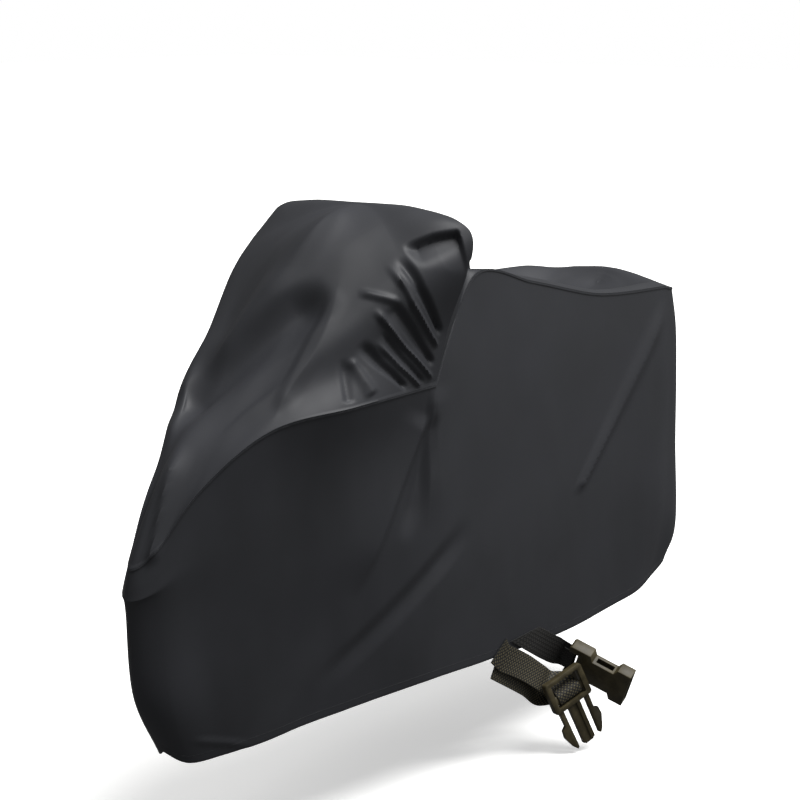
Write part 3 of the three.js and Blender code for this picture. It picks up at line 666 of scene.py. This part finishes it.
# %% [markdown]
# ## Cloth meshes
# A grid becomes a mesh with a UV map in metres of cloth, so that the weave keeps its scale on every
# panel. Solidify then gives the sheet its thickness on the inside.

# %% From grid to sheet
SAME_PLACE = 0.02 * MM
SOFT_ANGLE = math.radians(50)


def cloth_uv(grid):
    """How far each point of a grid is along its row and up its column, in metres."""
    along = np.linalg.norm(np.diff(grid, axis=0), axis=2).mean(1)
    up = np.linalg.norm(np.diff(grid, axis=1), axis=2)
    u = np.concatenate([[0], np.cumsum(along)])[:, None] * np.ones(grid.shape[1])
    v = np.concatenate([np.zeros((len(grid), 1)), np.cumsum(up, axis=1)], axis=1)
    return np.stack([u, v], axis=-1)


def grid_object(name, parts):
    """A mesh object from grids, each given as (grid, whether its faces are turned)."""
    points, quads, uvs = [], [], []
    for grid, turned in parts:
        number = np.arange(grid[..., 0].size).reshape(grid.shape[:2]) + sum(len(p) for p in points)
        square = grid_faces(number)
        quads.append(square[:, ::-1] if turned else square)
        points.append(grid.reshape(-1, 3))
        uvs.append(cloth_uv(grid).reshape(-1, 2))
    mesh = bpy.data.meshes.new(name)
    quads = np.concatenate(quads)
    mesh.from_pydata(np.concatenate(points).tolist(), [], quads.tolist())
    layer = mesh.uv_layers.new(name="cloth")
    layer.data.foreach_set("uv", np.concatenate(uvs)[quads.reshape(-1)].reshape(-1))
    return new_object(name, mesh)


def only(obj):
    """Selects one object and nothing else."""
    bpy.ops.object.select_all(action="DESELECT")
    obj.select_set(True)
    bpy.context.view_layer.objects.active = obj


def merge_and_thicken(obj, thickness):
    """Joins the points that lie in the same place and gives the sheet its thickness inwards."""
    only(obj)
    bpy.ops.object.mode_set(mode="EDIT")
    bpy.ops.mesh.select_all(action="SELECT")
    bpy.ops.mesh.remove_doubles(threshold=SAME_PLACE)
    bpy.ops.object.mode_set(mode="OBJECT")
    solidify = obj.modifiers.new("thickness", "SOLIDIFY")
    solidify.thickness = thickness
    solidify.offset = -1
    bpy.ops.object.modifier_apply(modifier=solidify.name)
    bpy.ops.object.shade_smooth_by_angle(angle=SOFT_ANGLE)


panels = {
    "top_cloth": [(top_rows("top_left", "left"), False), (top_rows("top_right", "right"), True)],
    "left_cloth": [(left_side, False)],
    "right_cloth": [(right_side, True)],
}
cloths = {}
for name, parts in panels.items():
    cloths[name] = grid_object(name, parts)
    merge_and_thicken(cloths[name], CLOTH)
    print(name, len(cloths[name].data.polygons), "faces")

# %% [markdown]
# ## Stitches
# Every seam is sewn down with two rows of lockstitch and the hem with one. One stitch is modelled,
# a short thread that dips into the cloth at both ends, and copied along each seam. The stitches
# are drawn coarser than the real 3 mm, and their thread thicker, so that they can be seen.

# %% Stitches
THREAD = 0.9 * MM
STITCH = {"every": 4.6 * MM, "long": 3.9 * MM, "sides": 6}
# The rows on a lap, as shares of the lap, and the row on the hem, as a share of its depth.
LAP_ROWS = (0.75, 0.08)
HEM_ROW = 0.86


def one_stitch():
    """Points and faces of one stitch along X, with Z out of the cloth."""
    n = STITCH["sides"]
    rings = [(-0.5, 0.25, -0.3), (-0.3, 0.9, 0.1), (0.3, 0.9, 0.1), (0.5, 0.25, -0.3)]
    turn = np.arange(n) * 2 * math.pi / n
    points = [
        (x * STITCH["long"], r * THREAD / 2 * math.cos(a), THREAD / 2 * (r * math.sin(a) + z))
        for x, r, z in rings
        for a in turn
    ]
    quads = [
        (i * n + j, (i + 1) * n + j, (i + 1) * n + (j + 1) % n, i * n + (j + 1) % n)
        for i in range(len(rings) - 1)
        for j in range(n)
    ]
    caps = [tuple(range(n)), tuple(reversed(range(n * (len(rings) - 1), n * len(rings))))]
    return np.array(points), [tuple(reversed(q)) for q in quads + caps]


def stitch_row(line, directions):
    """Places along a line, each with its axes: along, across and out of the cloth."""
    length = run_along(line)
    spots_at = np.arange(STITCH["every"] / 2, length[-1], STITCH["every"])
    place = np.stack([np.interp(spots_at, length, line[:, k]) for k in range(3)], axis=1)
    ahead = np.stack([np.interp(spots_at + MM, length, line[:, k]) for k in range(3)], axis=1)
    up = np.stack([np.interp(spots_at, length, directions[:, k]) for k in range(3)], axis=1)
    along = unit(ahead - place)
    across = unit(np.cross(up, along))
    return place, np.stack([along, across, np.cross(along, across)], axis=-1)


def stitch_object(name, rows):
    """All the stitches of some rows as one mesh."""
    shape, cells = one_stitch()
    points = np.concatenate(
        [(axes @ shape.T).transpose(0, 2, 1) + place[:, None] for place, axes in rows]
    ).reshape(-1, 3)
    count = len(points) // len(shape)
    mesh = bpy.data.meshes.new(name)
    mesh.from_pydata(
        points.tolist(), [], [tuple(k + n * len(shape) for k in c) for n in range(count) for c in cells]
    )
    obj = new_object(name, mesh)
    only(obj)
    bpy.ops.object.shade_smooth()
    print(name, count, "stitches")
    return obj


seam_rows, hem_rows = [], []
for half, side in (("top_left", "left"), ("top_right", "right")):
    grid, directions = spots(half)
    down = unit(spots(side)[0][:, -2] - grid[:, 0])
    for share in LAP_ROWS:
        line = grid[:, 0] + down * LAP * share + directions[:, 0] * TOP_LIFT
        seam_rows.append(stitch_row(line, directions[:, 0]))
    side_grid, side_out = spots(side)
    line, line_out = along_column(side_grid, side_out, HEM_DEPTH * HEM_ROW)
    hem_rows.append(stitch_row(line + line_out * 0.1 * MM, line_out))
stem_grid, stem_out = spots("left")
right_grid, _ = spots("right")
for end, beside in ((0, 1), (-1, -2)):
    way = unit(right_grid[beside] - stem_grid[end])
    for share in LAP_ROWS:
        line = stem_grid[end] + way * LAP * share + stem_out[end] * STEM_LIFT
        seam_rows.append(stitch_row(line[:-2], stem_out[end][:-2]))
seam_stitches = stitch_object("seam_stitches", seam_rows)
hem_stitches = stitch_object("hem_stitches", hem_rows)

# %% [markdown]
# ## Buckle halves
# Both halves are moulded acetal. Their shape comes from the frame. A copy of each is cleaned to
# plain faces and every sharp edge gets a small bevel, which is what catches the light on a moulded
# part. The bevels take a second, paler material: a painted highlight for the light that they catch.

# %% Buckle halves
# Faces turned less than FLAT to each other become one, and edges turned more than EDGE are bevelled.
FLAT, EDGE, CREASE = (math.radians(a) for a in (1.5, 28, 35))
BEVELS = {"prong_half": 0.7 * MM, "socket_half": 0.9 * MM}


def bevelled_copy(node, name):
    """A copy of a frame node with clean faces and bevelled edges."""
    obj = new_object(name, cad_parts[node].data.copy())
    obj.data.materials.clear()
    only(obj)
    bpy.ops.object.mode_set(mode="EDIT")
    bpy.ops.mesh.select_all(action="SELECT")
    bpy.ops.mesh.remove_doubles(threshold=SAME_PLACE / 2)
    bpy.ops.mesh.dissolve_limited(angle_limit=FLAT)
    bpy.ops.object.mode_set(mode="OBJECT")
    bevel = obj.modifiers.new("edges", "BEVEL")
    bevel.width = BEVELS[name]
    bevel.segments = 2
    bevel.limit_method = "ANGLE"
    bevel.angle_limit = EDGE
    # The bevels take the second material, the paler acetal that is a painted highlight.
    bevel.material = 1
    bpy.ops.object.modifier_apply(modifier=bevel.name)
    bpy.ops.object.shade_smooth_by_angle(angle=CREASE)
    print(name, len(obj.data.polygons), "faces")
    return obj


prong_half = bevelled_copy("buckle_prongs", "prong_half")
socket_half = bevelled_copy("buckle_socket", "socket_half")

# %% [markdown]
# ## Straps
# Flat webbing can twist and turn over a bar but doesn't stretch. So each strap is a table of places
# along it: the middle of the webbing, and the way from there to its upper edge. The places on a
# buckle half are written in that half's own axes, so the webbing goes round its bar.

# %% Route of the straps
# Where the origin of each buckle half stands, and which way its x and y run.
PRONGS = {"at": (319, 242, -54), "x": (0.304, 0.865, 0.398), "y": (-0.215, -0.345, 0.914)}
SOCKET = {"at": (272, 315, 7), "x": (0.884, 0.281, -0.372), "y": (0.449, -0.298, 0.842)}
#    on      middle            half the way across   creased
FRONT_STRAP = [
    (None, (254.9, 24, 97), (1, 32, 25), False),
    (None, (254.8, 50, 69), (1, 18.5, 32), True),
    (None, (263, 125, 26), (-4, 26, 26), False),
    (None, (272, 190, -20), (-7, 28.3, 22.8), False),
    (None, (275, 218, -40), (-6.5, 28.7, 22.5), False),
    (PRONGS, (-8, 17, -21), (34.3, 12, -6.5), False),
    (PRONGS, (0, 9, -10), (37, 0, 0), False),
    (PRONGS, (0, 4, -3), (37, 0, 0), False),
    (PRONGS, (0, -0.5, 4), (37, 0, 0), False),
    (PRONGS, (0, -8, 6.5), (37, 0, 0), False),
    (PRONGS, (0, -20, 6.5), (37, 0, 0), False),
    (PRONGS, (0, -28, 4), (37, 0, 0), False),
    (PRONGS, (0, -30.2, -4), (37, 0, 0), False),
    (PRONGS, (-3, -25, -15), (36.8, 3, -2), False),
    (PRONGS, (-18, -12, -35), (33.3, 14.8, -6.5), False),
    (None, (260, 223, -79), (-6.5, 28.7, 22.5), False),
    (None, (254, 146, -24), (-3, 23, 28.8), False),
    (None, (246, 20, 56), (0, 18.5, 32), False),
]
REAR_STRAP = [
    (None, (256.8, 135, 113), (0, 63, 4), False),
    (None, (255.6, 185, 83), (1, 19.4, 31.5), True),
    (None, (257.5, 240, 50), (7, 17, 32), False),
    (None, (262, 280, 26), (14, 8, 33.3), False),
    (SOCKET, (-14, 0, 10), (0, 37, 0), False),
    (SOCKET, (7, 0, 9), (0, 37, 0), False),
    (SOCKET, (16.2, 0, 8), (0, 37, 0), False),
    (SOCKET, (19, 0, 0), (0, 37, 0), False),
    (SOCKET, (16.2, 0, -8), (0, 37, 0), False),
    (SOCKET, (7, 0, -9), (0, 37, 0), False),
    (SOCKET, (-30, 0, -12), (0, 37, 0), False),
]


def placement(at, x, y):
    """The matrix that places a buckle half's own axes in the frame."""
    along = Vector(x).normalized()
    face = along.cross(Vector(y)).normalized()
    turned = Matrix((along, face.cross(along), face)).transposed()
    return Matrix.Translation(Vector(at)) @ turned.to_4x4()


def strap_route(table, spacing):
    """Middles and halves along a strap, about this far apart, in metres."""
    rows = []
    for on, middle_at, half, _ in table:
        turn = placement(**on) if on else Matrix.Identity(4)
        rows.append([*(turn @ Vector(middle_at)), *(turn.to_3x3() @ Vector(half))])
    rows = np.array(rows)
    knots = run_along(rows[:, :3])
    places = divide(knots, [max(3, round(s / spacing)) for s in np.diff(knots)])
    every = np.vstack([2 * rows[0] - rows[1], rows, 2 * rows[-1] - rows[-2]])
    creased = [i + 1 for i, row in enumerate(table) if row[3]]
    line = through(every, wide_knots(knots), places, creased)
    return (line[:, :3] - ORIGIN) * MM, line[:, 3:] * MM


for name, table in (("front", FRONT_STRAP), ("rear", REAR_STRAP)):
    centres, _ = strap_route(table, 3)
    print(name, "strap", round(run_along(centres)[-1], 3), "m long")

# %% [markdown]
# ## Webbing
# The strap is a closed band: its upper face, a rounded selvedge, its lower face and the other
# selvedge. Heavy webbing shows its yarns, so the weave is raised in the mesh: ridges that cross at a
# slant, high where one yarn runs over and low where it goes under. Real yarns cross every two or
# three millimetres, too fine to show from five metres, so they are drawn four times as coarse.

# %% Webbing meshes
WEBBING = {"thick": 2.2, "across": 40, "spacing": 2.0, "yarn": 11.0, "raised": 0.4}
# The selvedge's width, and the share of the thickness that is left at its edge.
SELVEDGE, EDGE_LEFT = 3.0, 0.35


def weave_height(u, v):
    """How far the yarns stand up, from -1 to 1, at u across and v along, in millimetres."""
    a = math.pi * (u + v) / WEBBING["yarn"]
    b = math.pi * (u - v) / WEBBING["yarn"]
    return np.sin(a) * np.sin(b)


def webbing_object(name, table):
    """A closed band of webbing along a route, with its weave raised and a UV map in metres."""
    centres, halves = strap_route(table, WEBBING["spacing"])
    count, n = len(centres), WEBBING["across"]
    length = run_along(centres)
    face = unit(np.cross(halves, np.gradient(centres, axis=0)))
    across = np.concatenate([np.linspace(-1, 1, n), np.linspace(1, -1, n)])
    upper = np.concatenate([np.ones(n), -np.ones(n)])
    width = np.linalg.norm(halves, axis=1).mean() / MM
    from_edge = (1 - abs(across)) * width
    rim = np.clip(from_edge / SELVEDGE, 0, 1)
    rounded = EDGE_LEFT + (1 - EDGE_LEFT) * np.sqrt(1 - (1 - rim) ** 2)
    relief = weave_height(across[None] * width, length[:, None] / MM) * WEBBING["raised"] * rim
    height = (WEBBING["thick"] / 2 * rounded + relief) * upper * MM
    points = centres[:, None] + halves[:, None] * across[None, :, None]
    points += face[:, None] * height[..., None]
    ring = np.arange(count * 2 * n).reshape(count, 2 * n)
    ring = np.concatenate([ring, ring[:, :1]], axis=1)
    quads = grid_faces(ring)[:, ::-1]
    caps = [tuple(ring[0, :-1]), tuple(ring[-1, :-1][::-1])]
    mesh = bpy.data.meshes.new(name)
    cells = quads.tolist() + [tuple(map(int, c)) for c in caps]
    mesh.from_pydata(points.reshape(-1, 3).tolist(), [], cells)
    u = np.append(across, across[0]) * width * MM
    uv = np.stack(np.broadcast_arrays(u[None], length[:, None]), axis=-1)
    corner = grid_faces(np.arange(uv[..., 0].size).reshape(uv.shape[:2]))[:, ::-1].reshape(-1)
    layer = mesh.uv_layers.new(name="cloth")
    loops = np.zeros((len(mesh.loops), 2))
    loops[: len(corner)] = uv.reshape(-1, 2)[corner]
    layer.data.foreach_set("uv", loops.reshape(-1))
    obj = new_object(name, mesh)
    only(obj)
    bpy.ops.object.shade_smooth_by_angle(angle=SOFT_ANGLE)
    print(name, len(mesh.polygons), "faces,", round(length[-1], 3), "m by", round(2 * width, 1), "mm")
    return obj


front_webbing = webbing_object("front_webbing", FRONT_STRAP)
rear_webbing = webbing_object("rear_webbing", REAR_STRAP)

# %% [markdown]
# ## Cloth finish
# The panels are polyester taffeta with a thin coating: charcoal, with a satin gloss that is stronger
# at a low angle. Its threads are about 0.25 mm apart. They are drawn at 0.8 mm, the finest that a
# close view shows. Larger, fainter bumps are the handling creases of thin coated cloth.

# %% Coated polyester taffeta
THREAD_SPACING = 0.8 * MM


def coated_taffeta():
    """Satin charcoal cloth: fine plain weave, faint creases, uneven gloss."""
    material, shader = new_material("coated_polyester_taffeta", Roughness=0.42, IOR=1.33)
    uv = add_node(material, "UVMap", {"uv_map": "cloth"})
    place = add_node(material, "TexCoord")
    cloudy = add_node(material, "TexNoise", Vector=place.outputs["Object"], Scale=3.5, Detail=3.0)
    tone = two_tones(material, cloudy.outputs["Fac"], "#2f3033", "#343539", 0.3, 0.7)
    gloss = add_node(
        material, "MapRange", Value=cloudy.outputs["Fac"],
        From_Min=0.3, From_Max=0.7, To_Min=0.48, To_Max=0.56,
    )
    waves = []
    for axis in ("X", "Y"):
        waves.append(add_node(
            material, "TexWave", {"bands_direction": axis, "wave_profile": "SIN"},
            Vector=uv.outputs["UV"], Scale=math.pi / 10 / THREAD_SPACING, Distortion=0.0,
        ))
    weave = add_node(
        material, "Math", {"operation": "MULTIPLY"},
        s0=waves[0].outputs["Fac"], s1=waves[1].outputs["Fac"],
    )
    creases = add_node(
        material, "TexNoise", {"noise_type": "RIDGED_MULTIFRACTAL"},
        Vector=place.outputs["Object"], Scale=9.0, Detail=4.0, Roughness=0.5,
    )
    crease_bump = add_node(
        material, "Bump", Strength=0.12, Distance=1.2 * MM, Height=creases.outputs["Fac"]
    )
    weave_bump = add_node(
        material, "Bump", Strength=0.25, Distance=0.1 * MM,
        Height=weave.outputs[0], Normal=crease_bump.outputs[0],
    )
    feed(material, shader, Base_Color=tone, Roughness=gloss.outputs[0], Normal=weave_bump.outputs[0])
    return material


taffeta = coated_taffeta()
for cloth in cloths.values():
    cloth.data.materials.append(taffeta)
print(taffeta.name, "on", len(cloths), "panels")

# %% [markdown]
# ## Thread, webbing and acetal
# The thread is bonded polyester, a shade darker than the cloth. The webbing is polypropylene in
# black with an olive yarn that shows where it crosses over, so its colour follows the same slanting
# ridges that the mesh has. The rear strap's copy has darker yarns, painted shade where that strap
# turns away from the light. The acetal has a fine grain from its mould, and its bevelled edges take
# a paler copy that is a painted highlight.

# %% Thread and webbing


def bonded_thread():
    """Dark thread with the twist of its strands as a fine bump."""
    material, shader = new_material("bonded_polyester_thread", Roughness=0.5)
    place = add_node(material, "TexCoord")
    strands = add_node(material, "TexNoise", Vector=place.outputs["Object"], Scale=1200.0)
    tone = two_tones(material, strands.outputs["Fac"], "#1d1e21", "#303136")
    bump = add_node(material, "Bump", Strength=0.4, Distance=0.1 * MM, Height=strands.outputs["Fac"])
    feed(material, shader, Base_Color=tone, Normal=bump.outputs[0])
    return material


def webbing_material(name, under, over, ribs):
    """Slanting yarns of two colours that cross, with ribs across the webbing. Real ribs are about
    2 mm apart and wouldn't show, so they are drawn coarser too."""
    material, shader = new_material(name, Roughness=0.72)
    uv = add_node(material, "UVMap", {"uv_map": "cloth"})
    turns = []
    for sign in (1, -1):
        turned = add_node(
            material, "Mapping", Vector=uv.outputs["UV"], Rotation=(0, 0, sign * math.radians(45))
        )
        turns.append(add_node(
            material, "TexWave", {"bands_direction": "X", "wave_profile": "SIN"},
            Vector=turned.outputs[0], Scale=2 * math.pi / 20 / (WEBBING["yarn"] * MM / math.sqrt(2)),
        ))
    crossing = add_node(
        material, "Math", {"operation": "MULTIPLY"},
        s0=turns[0].outputs["Fac"], s1=turns[1].outputs["Fac"],
    )
    fibres = add_node(material, "TexNoise", Vector=uv.outputs["UV"], Scale=900.0, Detail=2.0)
    shade = add_node(
        material, "Math", {"operation": "MULTIPLY"}, s0=crossing.outputs[0], s1=fibres.outputs["Fac"]
    )
    tone = two_tones(material, shade.outputs[0], under, over, 0.05, 0.45)
    rib = add_node(
        material, "TexWave", {"bands_direction": "Y", "wave_profile": "SIN"},
        Vector=uv.outputs["UV"], Scale=2 * math.pi / 20 / (ribs * MM),
    )
    rib_bump = add_node(material, "Bump", Strength=0.5, Distance=0.5 * MM, Height=rib.outputs["Fac"])
    bump = add_node(
        material, "Bump", Strength=0.6, Distance=0.4 * MM,
        Height=shade.outputs[0], Normal=rib_bump.outputs[0],
    )
    feed(material, shader, Base_Color=tone, Normal=bump.outputs[0])
    return material


thread = bonded_thread()
seam_stitches.data.materials.append(thread)
hem_stitches.data.materials.append(thread)
RIBS = 7.0
for strap, name, under, over in (
    (front_webbing, "black_and_olive_webbing", "#080807", "#5f573d"),
    # The rear strap is the same webbing with darker yarns: painted shade where it turns away from the
    # light.
    (rear_webbing, "webbing_with_painted_shade", "#0b0b0c", "#2e2c26"),
):
    strap.data.materials.append(webbing_material(name, under, over, RIBS))
    print(strap.name, "in", name)

# %% Moulded acetal


def moulded_acetal(name, dark, light, roughness):
    """Olive plastic with uneven tone and the fine grain of a spark-eroded mould."""
    material, shader = new_material(name, Roughness=roughness, IOR=1.36)
    place = add_node(material, "TexCoord")
    worn = add_node(material, "TexNoise", Vector=place.outputs["Object"], Scale=38.0, Detail=4.0)
    tone = two_tones(material, worn.outputs["Fac"], dark, light, 0.3, 0.7)
    grain = add_node(material, "TexNoise", Vector=place.outputs["Object"], Scale=900.0, Detail=1.0)
    bump = add_node(material, "Bump", Strength=0.25, Distance=0.2 * MM, Height=grain.outputs["Fac"])
    feed(material, shader, Base_Color=tone, Normal=bump.outputs[0])
    return material


acetal = moulded_acetal("moulded_acetal", "#332d1c", "#4c4530", 0.5)
# A paler copy for the bevelled edges: a painted highlight where they catch the light.
edge_highlight_acetal = moulded_acetal("acetal_edge_painted_highlight", "#75694a", "#978661", 0.4)
for half in (prong_half, socket_half):
    half.data.materials.append(acetal)
    half.data.materials.append(edge_highlight_acetal)
print(acetal.name, "and", edge_highlight_acetal.name, "on the buckle")

# %% [markdown]
# ## What each piece is
# Every piece rides on the one body, and the node of the frame that it stands for is hidden. The
# stitches ride on the body too.

REPLACES = {
    "top_cloth": ("top_panel", "cover_cloth"),
    "left_cloth": ("left_panel", "cover_cloth"),
    "right_cloth": ("right_panel", "cover_cloth"),
    "front_webbing": ("front_strap", "webbing"),
    "rear_webbing": ("rear_strap", "webbing"),
    "prong_half": ("buckle_prongs", "buckle_plastic"),
    "socket_half": ("buckle_socket", "buckle_plastic"),
}
for name, (node, slot) in REPLACES.items():
    piece = bpy.data.objects[name]
    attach(piece, "root")
    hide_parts(node)
for piece in (seam_stitches, hem_stitches):
    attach(piece, "root")
print(len(REPLACES), "pieces stand for nodes, and 2 are added")
